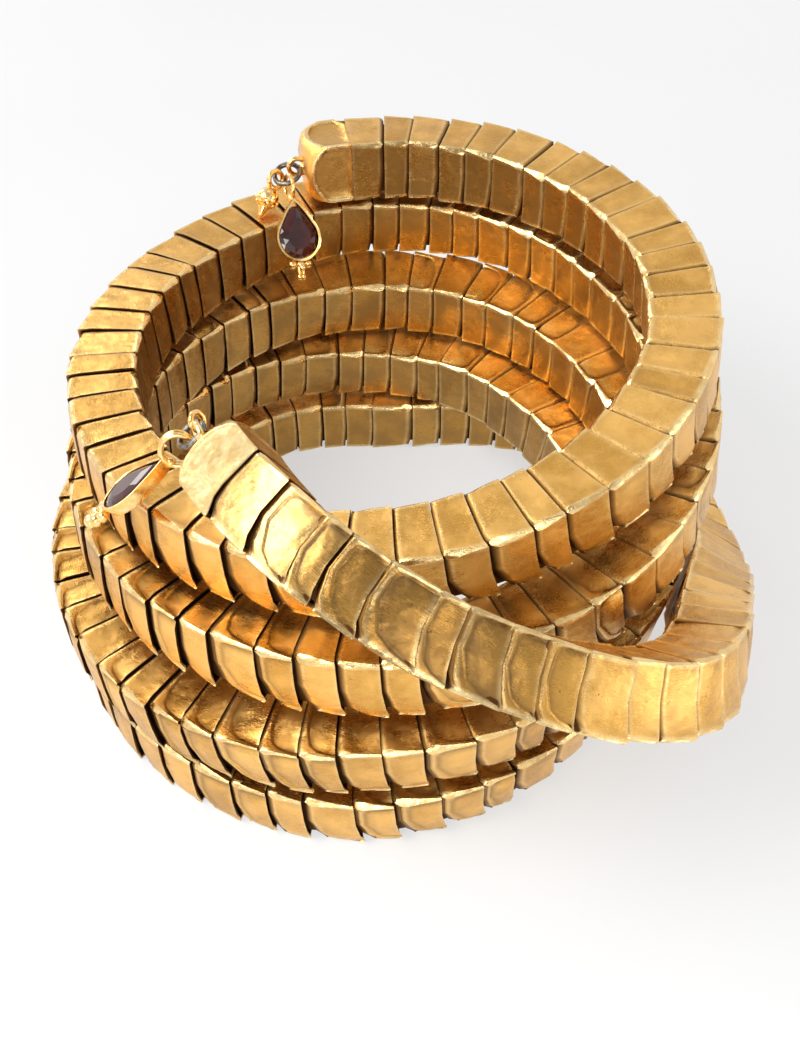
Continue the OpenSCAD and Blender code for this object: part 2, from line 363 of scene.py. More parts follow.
class LinkShape:
    """How one link departs from the pattern, in mm, drawn from its own number.
    Its mouth follows the far end of the link before it."""

    def __init__(self, number, before=None):
        draw = random.Random(1000 + number)
        strand = number > STRAND
        self.before = before
        # The far end: height and length of its low cut-back, how far it draws
        # back at the outer face, and the open slit before it
        self.low = draw.uniform(3.6, 5.4)
        self.low_long = draw.uniform(1.2, 1.8) if strand else draw.uniform(1.4, 2.5)
        self.edge = draw.uniform(0.3, 0.7)
        self.slit = draw.uniform(0.04, 0.13)
        # How closely the mouth follows the end before it, and how it bulges
        self.hug = draw.uniform(0.7, 0.85) if strand else draw.uniform(0.22, 0.4)
        self.bulge = draw.uniform(-0.03, 0.04)
        # How the link is trimmed, tilted, shifted and twisted
        self.trim = draw.uniform(0.0, 0.3) * draw.random()
        self.tilt = (draw.uniform(-0.02, 0.02), draw.uniform(-0.02, 0.02))
        self.offset = (draw.uniform(-0.13, 0.13), draw.uniform(-0.13, 0.13))
        self.twist = math.radians(draw.uniform(-1.4, 1.4))
        # Its faces: crown, sunk far end, width of each crease, depth of the groove
        self.crown = [draw.uniform(-0.16, 0.10) for _ in range(4)]
        self.crown[OUTER] = draw.uniform(0.0, 0.26)
        self.sink = draw.uniform(0.06, 0.14)
        self.facet = [draw.uniform(0.25, 0.45 if strand else 1.0) for _ in range(4)]
        self.lip = draw.uniform(0.30, 0.46) if strand else draw.uniform(0.04, 0.36)
        # The borders are faint on the top turn and the bend, and gone at the head
        if number < TOP_TURN or BEND[0] < number < BEND[1]:
            self.lip *= 0.4
        if number == LINKS - 1:
            self.lip = 0.0
        self.tone = draw.random()
        # Dents: place along and across, face, radius and rise
        self.dents = [
            (draw.uniform(0.5, 3.4), draw.uniform(-3.2, 3.2), draw.randrange(4),
             draw.uniform(0.7, 1.6), draw.uniform(-0.1, 0.06))
            for _ in range(6)
        ]

    def creased(self, x, y, z):
        """Widens the crease's bevel from the mouth towards the far end."""
        cy, cz = HALF - abs(y), HALF - abs(z)
        if x > PATTERN_LONG * 1.01 or cy > CREASE * 1.02 or cz > CREASE * 1.02:
            return y, z
        corner = (2 if y > 0 else 0) + (1 if z > 0 else 0)
        share = x / PATTERN_LONG
        width = 0.2 + (self.facet[corner] - 0.1) * share**1.6
        # The bevel's middle row, off both faces, comes to lie in a flat facet
        if cy > 0.02 and cz > 0.02:
            cy = cz = 0.48 * width
        else:
            cy, cz = cy / CREASE * width, cz / CREASE * width
        return math.copysign(HALF - cy, y), math.copysign(HALF - cz, z)

    def far(self, y, z):
        """Where the far end stands at a place of the section: it is cut back
        below, most of all at the outer face, and its corners are rounded."""
        low_long = self.low_long * (0.3 + 0.7 * fade(y, -3.5, 3.5))
        return (
            PATTERN_LONG
            - self.trim
            - low_long * (1 - fade(z, -HALF, self.low - HALF)) ** 2
            - self.edge * quarter(HALF - y, 1.6)
            - 0.8 * quarter(y + HALF, 0.5)
            - 0.8 * quarter(HALF - z, 0.45)
            + self.tilt[0] * y
            + self.tilt[1] * z
        )

    def mouth(self, y, z):
        """Where the mouth's edge stands: it follows the far end before it."""
        slit = self.slit * (0.4 + 0.6 * fade(y, -HALF, 0.0))
        edge = slit - GAP - self.bulge * (1 - (y * z / HALF**2) ** 2)
        if self.before:
            edge -= self.hug * (PATTERN_LONG - self.before.far(y, z))
        return edge

    def place(self, x, y, z):
        """Place in the link of a point of the pattern, all in mm."""
        share = min(x / PATTERN_LONG, 1.0)
        skin = max(abs(y), abs(z)) > SKIN
        y, z = self.creased(x, y, z)
        far, mouth = self.far(y, z), self.mouth(y, z)
        along = mouth + (far - mouth) * share + max(0.0, x - PATTERN_LONG)
        new_y, new_z = y, z
        if skin:
            left = (1 - share) * PATTERN_LONG
            sink = self.sink * max(0.0, 1 - left / SINK_LONG) ** 2
            rise_y = self.relief(OUTER if y > 0 else INNER, share, z) - sink
            rise_z = self.relief(UPPER if z > 0 else UNDER, share, y) - sink
            new_y += on_face(y) * math.copysign(1, y) * rise_y
            new_z += on_face(z) * math.copysign(1, z) * rise_z
        c, s = math.cos(self.twist), math.sin(self.twist)
        return (
            along,
            c * new_y - s * new_z + self.offset[0],
            s * new_y + c * new_z + self.offset[1],
        )

    def inwards(self, side, share, across):
        """Distance in from a face's edge, which is rounded at the far end: wide
        at the low corner of an outer face, narrow at the other one."""
        left = (1 - share) * PATTERN_LONG
        low = HALF + (across if side == OUTER else -across)
        nearest = left
        for aside, radius in ((low, LOW_ROUND), (2 * HALF - low, HIGH_ROUND)):
            nearest = min(nearest, aside)
            if left < radius and aside < radius:
                nearest = min(nearest, radius - math.hypot(radius - left, radius - aside))
        return nearest

    def border(self, side, share, across):
        """1 in the groove that runs inside a face's border, 0 away from it."""
        off = self.inwards(side, share, across) - GROOVE_IN
        return math.exp(-((off / GROOVE_WIDE) ** 2))

    def relief(self, side, share, across):
        """Height of a face over its plane: crown, dents and the border's groove."""
        inside = 1 - (across / HALF) ** 4
        rise = self.crown[side] * inside * math.sin(math.pi * share)
        for at, over, face, radius, depth in self.dents:
            if face == side:
                reach = ((share * PATTERN_LONG - at) ** 2 + (across - over) ** 2) / radius**2
                rise += depth * math.exp(-reach) * inside
        # The outer face leans in at its low edge; its groove is shallow on most links
        if side == OUTER:
            rise -= 0.38 * fade(-across, 2.2, HALF) ** 2
        if side in (OUTER, UPPER):
            depth = self.lip if side == UPPER or self.lip > 0.33 else 0.4 * self.lip
            rise -= depth * self.border(side, share, across)
        return rise


def on_face(measure):
    """1 on a face of the band, fading to 0 a little inside it."""
    return fade(abs(measure), HALF - 0.3, HALF)


class Marks:
    """What the gold reads at each point of a mesh: tone, with painted shade in it; rubbed
    edge, partly a painted highlight; depth, painted shade in the gaps; painted shade in the
    grooves and joints; distance in from the rim; and place on the sheet in mm."""

    def __init__(self):
        self.rows = {label: [] for label in ("tone", "edge", "deep", "grime", "rim")}
        self.sheet = []

    def add(self, sheet, **values):
        for label, value in values.items():
            self.rows[label].append(value)
        self.sheet.extend(sheet)

    def write(self, mesh):
        for label, values in self.rows.items():
            layer = mesh.attributes.new(label, "FLOAT", "POINT")
            layer.data.foreach_set("value", values)
        layer = mesh.attributes.new("sheet", "FLOAT_VECTOR", "POINT")
        layer.data.foreach_set("vector", self.sheet)


def link_mesh(pattern, points, number, shape, start, end):
    """Mesh of one link, bent between the frames of its two joints, which stays
    above the floor."""
    mesh = pattern.copy()
    coords, marks = [], Marks()
    # painted highlight: the last links before the head are paled
    pale = PALE_PAINTED_HIGHLIGHT * fade(number, *PALE)
    # painted shade: the links before them are browned and darker
    brown = fade(number, *BROWN_FROM) * (1 - fade(number, *BROWN_TO))
    for x, y, z in points:
        along, across, up = shape.place(x, y, z)
        t = along / PATTERN_LONG
        a = start @ Vector((GAP / 2, across, up))
        b = end @ Vector((-GAP / 2, across, up))
        spot = (1 - t) * a + t * b
        spot.z = max(spot.z, 0.0)
        coords.extend(spot * MM)
        share = min(x / PATTERN_LONG, 1.0)
        side, over = (OUTER, z) if abs(y) > abs(z) else (UPPER, y)
        hidden = max(abs(y), abs(z)) < SKIN
        # the mouth, the end and the creases are rubbed bright, partly as a painted highlight
        wear_and_highlight = END_WEAR_AND_HIGHLIGHT if x < 0.1 or 0.9 < share < 0.99 else 0.0
        if min(abs(y), abs(z)) > HALF - 2 * CREASE:
            wear_and_highlight = CREASE_WEAR_AND_HIGHLIGHT
        # painted shade at the far end, where the link goes into the next mouth, and on the
        # brown links
        shade_amount = (END_PAINTED_SHADE if share > 0.99 else 0.0) + BROWN_PAINTED_SHADE * brown
        if y > SKIN or z > SKIN:
            # painted shade in the groove inside the face's border
            groove = shape.border(side, share, over) * (0.1 + 1.4 * shape.lip)
            tone = shape.tone - (DARKER_BROWN + shape.tone) * brown
            inwards = max(shape.inwards(side, share, over), 0.0)
        else:
            # painted shade: the faces inside the coil and underneath are browned and darker
            groove = INSIDE_PAINTED_SHADE
            tone = shape.tone - (DARKER_BROWN + shape.tone) * brown - DARKER_INSIDE
            inwards = NO_BORDER
        marks.add(
            (along + 10.0 * number, y + z, y - z),
            tone=tone,
            edge=0.0 if hidden else max(pale, wear_and_highlight),
            # dark patina and painted shade on the hidden faces in the gaps and the pocket
            deep=1.0 if hidden else 0.0,
            grime=min(1.0, groove + shade_amount),
            rim=inwards if shape.lip > 0.2 else NO_BORDER,
        )
    mesh.vertices.foreach_set("co", coords)
    marks.write(mesh)
    return mesh


def sleeve_stretch(name, pattern, joints, first, last):
    """All links from one number to another, as one piece."""
    flat = [0.0] * (3 * len(pattern.data.vertices))
    pattern.data.vertices.foreach_get("co", flat)
    points = [tuple(c / MM for c in flat[i:i + 3]) for i in range(0, len(flat), 3)]
    copies = []
    shape = LinkShape(first - 1) if first else None
    for k in range(first, last + 1):
        shape = LinkShape(k, shape)
        start, end = joint_frame(joints[k]), joint_frame(joints[k + 1])
        mesh = link_mesh(pattern.data, points, k, shape, start, end)
        copies.append(bpy.data.objects.new(f"{name}_{k}", mesh))
        bpy.context.scene.collection.objects.link(copies[-1])
    piece = unite(name, copies)
    bpy.ops.object.shade_smooth_by_angle(angle=math.radians(38))
    return piece


def metres(matrix):
    """The same placing matrix with its offset in metres."""
    placed = matrix.copy()
    placed.translation = matrix.translation * MM
    return placed


def unite(name, pieces, matrix=Matrix()):
    """Joins pieces to one and puts it in place."""
    clear_selection()
    for one in pieces:
        one.select_set(True)
    bpy.context.view_layer.objects.active = pieces[0]
    if len(pieces) > 1:
        bpy.ops.object.join()
    piece = bpy.context.active_object
    piece.name = name
    piece.data.name = name
    piece.data.transform(metres(matrix))
    return piece


# Box ends, in mm: their bevel, where the raised border of a side face begins and
# is full, the rounding of its corners, how deep the faces are dished inside it, and
# how far the head's end laps over
BOX_CREASE = 0.16
BORDER = (3.3, 3.8)
BOX_ROUND = 2.0
TAIL_DISH = 0.26
HEAD_DISH = 0.08
LAP = 0.3
# Their eyes: how far off the middle and how far turned about the band, in degrees
TAIL_EYE = (0.0, 0.0)
HEAD_EYE = (3.4, 123.0)


def dome_rise(across, dome):
    """How far a round end of a radius draws back at a distance off the middle."""
    return dome - math.sqrt(max(0.0, dome * dome - across * across))


def box_end(name, long, dome, depth, before=None):
    """Closed box end, X from its end face; its four side faces end in a round
    and have a raised border. It ends in a tongue, or, where it closes over a
    link before it, in a mouth that follows that link's far end."""
    reach = (long - GAP / 2 + (LAP if before else 0.0)) * MM
    piece = block(name, reach)
    pick(piece, "FACE", lambda f: f.normal.x > 0.9)
    bpy.ops.mesh.delete(type="ONLY_FACE")
    cut_across(
        (0.05, 0.10, 0.16, 0.3, 0.5, 0.7, 0.88, 0.95),
        reach,
        (-3.75, -3.35, -2.2, -0.8, 0.8, 2.2, 3.35, 3.75),
    )
    pick(piece, "EDGE", lambda e: on_crease(e) or on_front(e))
    bpy.ops.mesh.bevel(offset=BOX_CREASE * MM, segments=2, affect="EDGES")
    if before:
        add_pocket(piece, reach, -2.2 * MM)
    else:
        add_tongue(piece, reach)
    turn_outwards()
    bpy.ops.object.mode_set(mode="OBJECT")
    back = dome_rise(HALF, dome)
    marks = Marks()
    for vert in piece.data.vertices:
        x, y, z = vert.co / MM
        skin = max(abs(y), abs(z)) > SKIN and x < long - GAP / 2 + 0.01
        share = min(x / (reach / MM), 1.0)
        front = dome_rise(y, dome) * dome_rise(z, dome) / back
        # The dish inside the raised border of each side face
        inside = 1 - min(fade(abs(y), *BORDER), fade(abs(z), *BORDER)) if skin else 0.0
        inside *= fade(share, 0.1, 0.16) * (1 - fade(share, 0.9, 0.96))
        dish = depth * (1 + 0.6 * (1 - (min(abs(y), abs(z)) / HALF) ** 2)) * inside
        if skin and x > 0.2:
            low = dish + (0.0 if before else 0.12 * fade(share, 0.93, 1.0))
            y -= math.copysign(low * on_face(y), y)
            z -= math.copysign(low * on_face(z), z)
        round_over = 0.6 * max(fade(abs(y), 3.2, 4.3), fade(abs(z), 3.2, 4.3)) ** 2
        aside = HALF - min(abs(y), abs(z))
        inwards = min(x, aside)
        if max(x, aside) < BOX_ROUND:
            bow = BOX_ROUND - math.hypot(BOX_ROUND - x, BOX_ROUND - aside)
            inwards = min(inwards, bow)
        # dark patina and painted shade on the faces inside the pocket and on the tongue
        deep = 0.0 if skin or x < 1.0 else 1.0
        # The round end, and the notch or the cut of the open end
        x += (front + round_over) * (1 - share)
        if before:
            x += 0.9 * (PATTERN_LONG - before.far(y, z)) * fade(share, 0.6, 1.0)
        elif skin:
            x -= 1.9 * fade(y, 2.4, 4.2) * fade(share, 0.6, 1.0)
        vert.co = Vector((x, y, z)) * MM
        # the raised border rubbed bright, partly as a painted highlight; the head's end pale
        # all over with a painted highlight; the tail's dish browned with painted shade
        wear_and_highlight = 0.8 if skin and inside < 0.5 and share < 0.9 else 0.0
        marks.add(
            (x, y + z, y - z),
            tone=0.7,
            edge=0.9 if before else wear_and_highlight,
            deep=deep,
            grime=0.0 if before else 0.45 * inside,
            rim=max(inwards, 0.0) if skin and not before else NO_BORDER,
        )
    marks.write(piece.data)
    return piece


def seat(piece, end, joint, long, flip):
    """Puts a box end in place, bent from its own frame to that of its joint. The
    head's end lies the other way along the band, and its faces are flipped."""
    for vert in piece.data.vertices:
        x, y, z = vert.co / MM
        share = min(max(x / long, 0.0), 1.0)
        at_joint = joint @ Vector(((long - x) if flip else (x - long), y, z))
        vert.co = ((1 - share) * (end @ Vector((x, y, z))) + share * at_joint) * MM
    if flip:
        piece.data.flip_normals()
    clear_selection()
    piece.select_set(True)
    bpy.context.view_layer.objects.active = piece
    bpy.ops.object.shade_smooth_by_angle(angle=math.radians(40))


def wire_ring(name, radius, wire, place, turn=(0, 0)):
    """A ring of round wire, slightly uneven by hand, turned about Y and then X."""
    clear_selection()
    bpy.ops.mesh.primitive_torus_add(
        major_radius=radius * MM, minor_radius=wire / 2 * MM,
        major_segments=56, minor_segments=14,
    )
    piece = start_piece(name)
    for vert in piece.data.vertices:
        around = math.atan2(vert.co.y, vert.co.x)
        uneven = 0.012 * math.sin(3 * around + radius) + 0.008 * math.sin(7 * around)
        vert.co *= 1 + uneven
    turned = Matrix.Rotation(turn[0], 4, "X") @ Matrix.Rotation(turn[1], 4, "Y")
    piece.data.transform(metres(Matrix.Translation(place)) @ turned)
    bpy.ops.object.shade_smooth()
    return piece


def ball(name, radius, place, stretch=(1, 1, 1)):
    """A gold grain, dome or foot, stretched where it is told to be."""
    clear_selection()
    bpy.ops.mesh.primitive_ico_sphere_add(subdivisions=3, radius=radius * MM)
    piece = start_piece(name)
    piece.data.transform(Matrix.Diagonal((*stretch, 1)))
    piece.data.transform(metres(Matrix.Translation(place)))
    bpy.ops.object.shade_smooth()
    return piece


def spike(name, base, tip, long, place, turn):
    """A tapered rod, its base downwards, then turned about X."""
    clear_selection()
    bpy.ops.mesh.primitive_cone_add(
        vertices=20, radius1=base * MM, radius2=tip * MM, depth=long * MM
    )
    piece = start_piece(name)
    placed = metres(Matrix.Translation(place))
    piece.data.transform(placed @ Matrix.Rotation(turn, 4, "X"))
    bpy.ops.object.shade_smooth_by_angle(angle=math.radians(50))
    return piece


def pear_point(share, radius, top, low):
    """Point of a pear outline, share 0 at the apex and rising clockwise."""
    centre = low + radius
    bend = math.acos(radius / (top - centre))
    straight = (top - centre) * math.sin(bend)
    arc = radius * (2 * math.pi - 2 * bend)
    at = (share % 1.0) * (2 * straight + arc)
    shoulder = Vector((radius * math.sin(bend), centre + radius * math.cos(bend)))
    if at < straight:
        swell = 0.05 * radius * math.sin(math.pi * at / straight)
        point = Vector((0, top)).lerp(shoulder, at / straight)
        return point + swell * Vector((math.sin(bend), math.cos(bend)))
    if at > straight + arc:
        back = pear_point(1.0 - share % 1.0, radius, top, low)
        return Vector((-back.x, back.y))
    angle = bend + (at - straight) / radius
    return Vector((radius * math.sin(angle), centre + radius * math.cos(angle)))


def pear_cup(sizes):
    """Pear-shaped setting: a closed back, a thin wall and a rubbed-over rim."""
    sides = 56
    middle = (0, -4.9 * MM, 0)
    back = (0.8, 0.88, 1)
    height = sizes.setting_height
    lip = 0.10 * MM
    clear_selection()
    bpy.ops.mesh.primitive_circle_add(vertices=sides, radius=MM, fill_type="NGON")
    piece = start_piece("cup")
    for i, vert in enumerate(piece.data.vertices):
        spot = pear_point(i / sides, sizes.pear_radius, 0.0, -sizes.pear_length)
        vert.co = Vector((spot.x, spot.y, 0))
    bpy.ops.object.mode_set(mode="EDIT")
    turn_outwards()
    bpy.ops.transform.resize(value=back, center_override=middle)
    bpy.ops.mesh.extrude_region_move(
        TRANSFORM_OT_translate={"value": (0, 0, 0.75 * height)}
    )
    bpy.ops.transform.resize(value=[1 / part for part in back], center_override=middle)
    bpy.ops.mesh.extrude_region_move(
        TRANSFORM_OT_translate={"value": (0, 0, 0.25 * height)}
    )
    bpy.ops.mesh.inset(thickness=lip, depth=0.08 * MM)
    bpy.ops.mesh.inset(thickness=sizes.rim_width - lip, depth=-0.03 * MM)
    bpy.ops.mesh.extrude_region_move(
        TRANSFORM_OT_translate={"value": (0, 0, 0.65 * MM - height)}
    )
    turn_outwards()
    bpy.ops.object.mode_set(mode="OBJECT")
    bpy.ops.object.shade_smooth_by_angle(angle=math.radians(35))
    return piece


def cut_stone(name, sizes, matrix):
    """Pear-cut stone: pavilion, girdle, two rows of crown facets and a table."""
    count = 18
    middle = Vector((0, -5.4))
    girdle = sizes.setting_height / MM
    inside = sizes.rim_width / MM + 0.1
    radius, top = sizes.pear_radius / MM - inside, -0.9
    low = inside - sizes.pear_length / MM
    # Size, height and turn, as a share of a facet, of each ring from the bottom
    rows = (
        (0.35, 0.7, 0), (1.0, girdle - 0.5, 0.5), (1.0, girdle - 0.25, 0.5),
        (0.84, girdle + 0.05, 0), (0.60, girdle + 0.3, 0.5),
    )
    mesh = bmesh.new()
    rings = []
    for size, height, step in rows:
        ring = []
        for i in range(count):
            spot = pear_point((i + step) / count, radius, top, low)
            spot = middle + (spot - middle) * size
            ring.append(mesh.verts.new(Vector((spot.x, spot.y, height)) * MM))
        rings.append(ring)
    for k in range(len(rows) - 1):
        lower, upper = rings[k], rings[k + 1]
        step, next_step = rows[k][2], rows[k + 1][2]
        for i in range(count):
            j = (i + 1) % count
            if step == next_step:
                mesh.faces.new((lower[i], lower[j], upper[j], upper[i]))
            elif step == 0:
                mesh.faces.new((lower[i], lower[j], upper[i]))
                mesh.faces.new((lower[j], upper[j], upper[i]))
            else:
                mesh.faces.new((lower[i], upper[j], upper[i]))
                mesh.faces.new((lower[i], lower[j], upper[j]))
    mesh.faces.new(rings[-1])
    mesh.faces.new(rings[0][::-1])
    bmesh.ops.recalc_face_normals(mesh, faces=mesh.faces)
    data = bpy.data.meshes.new(name)
    mesh.to_mesh(data)
    mesh.free()
    data.transform(metres(matrix))
    piece = bpy.data.objects.new(name, data)
    bpy.context.scene.collection.objects.link(piece)
    return piece


def drop_frame(apex, down, face):
    """Frame of a drop: origin at its apex, -Y down its length, Z out of its face."""
    y = -Vector(down).normalized()
    z = (Vector(face) - Vector(face).dot(y) * y).normalized()
    return axes(y.cross(z), y, z, Vector(apex) + SHIFT)


def hang_frame(place, up, along):
    """Frame of a piece that hangs from a wire: Z along up, Y along the wire."""
    z = Vector(up).normalized()
    y = (Vector(along) - Vector(along).dot(z) * z).normalized()
    return axes(y.cross(z), y, z, Vector(place) + SHIFT)


def ring_frame(place, axis):
    """Frame that lays a flat ring at a place, its axis along a direction."""
    z = Vector(axis).normalized()
    x = Vector((0, 1, 0)).cross(z).normalized()
    return axes(x, z.cross(x), z, Vector(place) + SHIFT)


def bail_frame(wire, radius, lean, side):
    """Where a bail's ring stands over the apex, in the drop's frame."""
    turned = Matrix.Rotation(math.radians(side), 4, "Z")
    turned = turned @ Matrix.Rotation(math.radians(lean), 4, "X")
    return Matrix.Translation((0, 0.1, wire / 2)) @ turned @ Matrix.Translation((0, radius, 0))


class Nodes:
    """Short hand for building the nodes of a material or of the world."""

    def __init__(self, owner, shader="Principled BSDF"):
        owner.use_nodes = True
        self.owner = owner
        self.tree = owner.node_tree
        self.inputs = self.tree.nodes[shader].inputs
        self.places = self.add("ShaderNodeTexCoord").outputs

    def add(self, kind, **settings):
        node = self.tree.nodes.new(kind)
        for key, value in settings.items():
            setattr(node, key, value)
        return node

    def put(self, socket, value):
        if isinstance(value, bpy.types.NodeSocket):
            self.tree.links.new(value, socket)
        else:
            socket.default_value = value

    def finish(self, **values):
        """Sets the shader's inputs, each by its name with _ for a space."""
        for name, value in values.items():
            self.put(self.inputs[name.replace("_", " ")], value)
        return self.owner

    def attribute(self, name, output="Fac"):
        return self.add("ShaderNodeAttribute", attribute_name=name).outputs[output]

    def noise(self, scale, detail=3.0, roughness=0.5, vector=None):
        node = self.add("ShaderNodeTexNoise")
        self.put(node.inputs["Vector"], vector or self.places["Object"])
        node.inputs["Scale"].default_value = scale
        node.inputs["Detail"].default_value = detail
        node.inputs["Roughness"].default_value = roughness
        return node.outputs["Fac"]

    def cells(self, scale):
        node = self.add("ShaderNodeTexVoronoi")
        self.put(node.inputs["Vector"], self.places["Object"])
        node.inputs["Scale"].default_value = scale
        return node.outputs["Distance"]

    def stretch(self, vector, scale):
        node = self.add("ShaderNodeMapping")
        self.put(node.inputs["Vector"], vector)
        node.inputs["Scale"].default_value = scale
        return node.outputs["Vector"]

    def toward(self, vector, direction):
        """How far a vector points along a direction."""
        node = self.add("ShaderNodeVectorMath", operation="DOT_PRODUCT")
        self.put(node.inputs[0], vector)
        self.put(node.inputs[1], direction)
        return node.outputs["Value"]

    def spread(self, value, low, high, to_low=0.0, to_high=1.0):
        node = self.add("ShaderNodeMapRange", interpolation_type="SMOOTHSTEP")
        self.put(node.inputs["Value"], value)
        node.inputs["From Min"].default_value = low
        node.inputs["From Max"].default_value = high
        node.inputs["To Min"].default_value = to_low
        node.inputs["To Max"].default_value = to_high
        return node.outputs["Result"]

    def plus(self, a, b, operation="ADD"):
        node = self.add("ShaderNodeMath", operation=operation)
        self.put(node.inputs[0], a)
        self.put(node.inputs[1], b)
        return node.outputs["Value"]

    def times(self, a, b):
        return self.plus(a, b, "MULTIPLY")

    def mix(self, factor, a, b):
        node = self.add("ShaderNodeMix", data_type="RGBA")
        self.put(node.inputs["Factor"], factor)
        self.put(node.inputs["A"], a)
        self.put(node.inputs["B"], b)
        return node.outputs["Result"]

    def bump(self, height, distance, strength, normal=None):
        node = self.add("ShaderNodeBump")
        self.put(node.inputs["Height"], height)
        node.inputs["Distance"].default_value = distance
        node.inputs["Strength"].default_value = strength
        if normal is not None:
            self.put(node.inputs["Normal"], normal)
        return node.outputs["Normal"]


def worn_gold_painted_light(looks):
    """Satin gold sheet: mottled, brushed, browned by painted shade in its grooves, joints and
    gaps, rubbed bright on its edges, partly as a painted highlight, and pitted here and there."""
    n = Nodes(bpy.data.materials.new("worn_gold_painted_light"))
    edge, deep, rim = n.attribute("edge"), n.attribute("deep"), n.attribute("rim")
    clouds = n.noise(240.0, 4.0, 0.6)
    specks = n.noise(1700.0, 4.0, 0.7)
    sheet = n.stretch(n.attribute("sheet", "Vector"), (1.4, 11.0, 11.0))
    brushed = n.noise(1.0, 4.0, 0.65, sheet)
    pits = n.spread(n.cells(1400.0), 0.07, 0.16, 1.0, 0.0)
    pitted = n.times(pits, n.spread(n.noise(300.0, 2.0), 0.56, 0.66))
    # Colour: the sheet's own mottling, the painted shade, the rubbed edges with their painted
    # highlight, the pits, the painted shade in the gaps
    mixed = n.plus(clouds, n.times(n.attribute("tone"), 0.35))
    base = n.mix(n.spread(mixed, 0.38, 0.9), looks.gold_deep, looks.gold_light)
    base = n.mix(n.spread(specks, 0.5, 0.75, 0.0, 0.3), base, looks.gold_deep)
    # painted shade: brown in the grooves, at the joints, inside the coil and on the brown
    # links, with a darker line along each groove
    shade_amount = n.times(n.attribute("grime"), n.spread(clouds, 0.3, 0.7, 0.45, 0.95))
    groove_shade = n.times(n.spread(rim, 0.45, 0.7), n.spread(rim, 0.75, 1.25, 1.0, 0.0))
    base = n.mix(n.plus(shade_amount, n.times(groove_shade, 0.25)), base, looks.grime)
    # rubbed edges: wear, and a painted highlight on the creases, the ends and the pale links
    wear_and_highlight = n.times(edge, n.spread(n.noise(700.0, 3.0, 0.6), 0.35, 0.65, 0.5, 1.0))
    base = n.mix(wear_and_highlight, base, looks.gold_edge)
    base = n.mix(n.times(pitted, 0.7), base, looks.patina)
    # the hidden faces in the gaps: dark patina, and painted shade
    base = n.mix(deep, base, looks.patina)
    # Roughness: brushed, dull in the depth, smoother on the rubbed edges
    rough = n.spread(clouds, 0.3, 0.7, 0.25, 0.37)
    rough = n.plus(rough, n.spread(brushed, 0.35, 0.7, -0.05, 0.07))
    rough = n.plus(rough, n.times(deep, 0.3))
    rough = n.plus(rough, n.times(edge, -0.1))
    # Relief, from the widest dents to the pits, with the border's ridge
    ridge = n.spread(rim, 0.35, 0.75, 1.0, 0.0)
    normal = n.bump(n.noise(260.0, 2.0, 0.5), 0.0009, 0.4)
    normal = n.bump(n.noise(800.0, 2.0, 0.5), 0.00015, 0.5, normal)
    normal = n.bump(ridge, 0.00020, 0.6, normal)
    normal = n.bump(brushed, 0.00005, 0.7, normal)
    normal = n.bump(specks, 0.00002, 0.5, normal)
    normal = n.bump(n.times(pitted, -1.0), 0.00008, 0.8, normal)
    return n.finish(Base_Color=base, Metallic=1.0, Roughness=rough, Normal=normal)


def polished_gold(looks):
    """Brighter, smoother gold of the settings, bails and grains."""
    n = Nodes(bpy.data.materials.new("polished_gold"))
    clouds = n.noise(700.0, 3.0, 0.6)
    return n.finish(
        Base_Color=n.mix(n.spread(clouds, 0.35, 0.7), looks.gold_light, looks.gold_edge),
        Metallic=1.0,
        Roughness=n.spread(clouds, 0.3, 0.7, 0.14, 0.26),
        Normal=n.bump(n.noise(1800.0, 2.0), 0.00006, 0.35),
    )


def dark_silver(looks):
    """Oxidised grey wire of the jump rings."""
    n = Nodes(bpy.data.materials.new("dark_silver"))
    clouds = n.noise(900.0, 4.0, 0.6)
    worn = (0.32, 0.29, 0.25, 1)
    return n.finish(
        Base_Color=n.mix(n.spread(clouds, 0.35, 0.65), looks.ring, worn),
        Metallic=1.0,
        Roughness=n.spread(clouds, 0.3, 0.7, 0.22, 0.42),
        Normal=n.bump(clouds, 0.00008, 0.4),
    )


def garnet(looks):
    """Deep wine-red stone with a glassy skin."""
    n = Nodes(bpy.data.materials.new("garnet"))
    clouds = n.noise(450.0, 2.0, 0.5)
    darker = (0.028, 0.005, 0.004, 1)
    return n.finish(
        Base_Color=n.mix(n.spread(clouds, 0.3, 0.7), looks.stone, darker),
        Roughness=0.03,
        IOR=1.7,
    )


def pale_floor():
    """Pale matt table, lit from below like the sheet of a light table, and
    brighter from its middle towards the front left."""
    n = Nodes(bpy.data.materials.new("pale_floor"))
    front_left = n.toward(n.places["Object"], (-0.6, -0.8, 0.0))
    return n.finish(
        Base_Color=n.mix(
            n.spread(n.noise(6.0, 2.0), 0.3, 0.7), (0.30, 0.30, 0.30, 1), (0.33, 0.33, 0.33, 1)
        ),
        Emission_Color=(1.0, 1.0, 1.0, 1),
        Emission_Strength=n.spread(front_left, 0.0, 0.10, 0.55, 0.80),
        Roughness=0.95,
        Specular_IOR_Level=0.0,
    )


def gold(maker):
    """One of the two golds, made when it is first asked for."""
    ready = bpy.data.materials.get(maker.__name__)
    return ready or maker(bpy.context.scene.bracelet_looks)


LENGTH = {"unit": "LENGTH", "precision": 5}
COLOUR = {"subtype": "COLOR", "size": 4, "min": 0, "max": 1}


